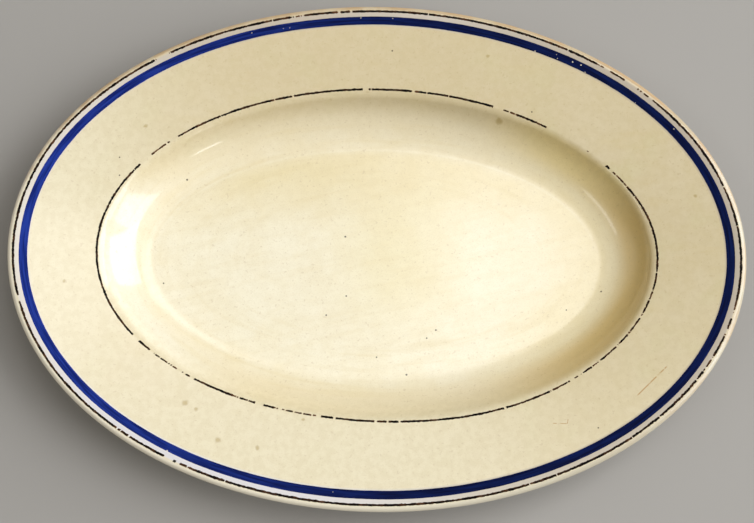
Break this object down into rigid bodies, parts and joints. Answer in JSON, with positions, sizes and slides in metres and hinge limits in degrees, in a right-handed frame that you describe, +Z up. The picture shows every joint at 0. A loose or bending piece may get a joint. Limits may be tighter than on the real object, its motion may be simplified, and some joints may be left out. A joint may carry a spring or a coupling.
{
  "type": "oval serving platter",
  "caption": "Oval serving platter in cream glazed earthenware, with a gently rising rim, a coved well, a foot ring, a blue band near the edge and fine dark lines.",
  "frame": {"origin": "on the table, under the middle of the foot ring", "axes": "+X along the platter's length, +Y across its width, +Z up out of the well"},
  "size_m": [0.356, 0.249, 0.0286],
  "materials": {
    "clay": "bare fired clay, matt",
    "cream_glaze": "glossy ivory glaze, lightly aged",
    "blue_enamel": "glossy cobalt enamel with small nicks",
    "dark_enamel": "thin brown-black enamel line, worn through in places"
  },
  "bodies": {
    "root": {"clay_body": "clay", "face_glaze": "cream_glaze", "base_glaze": "cream_glaze", "blue_band": "blue_enamel", "rim_line": "dark_enamel", "well_line": "dark_enamel"}
  },
  "joints": []
}
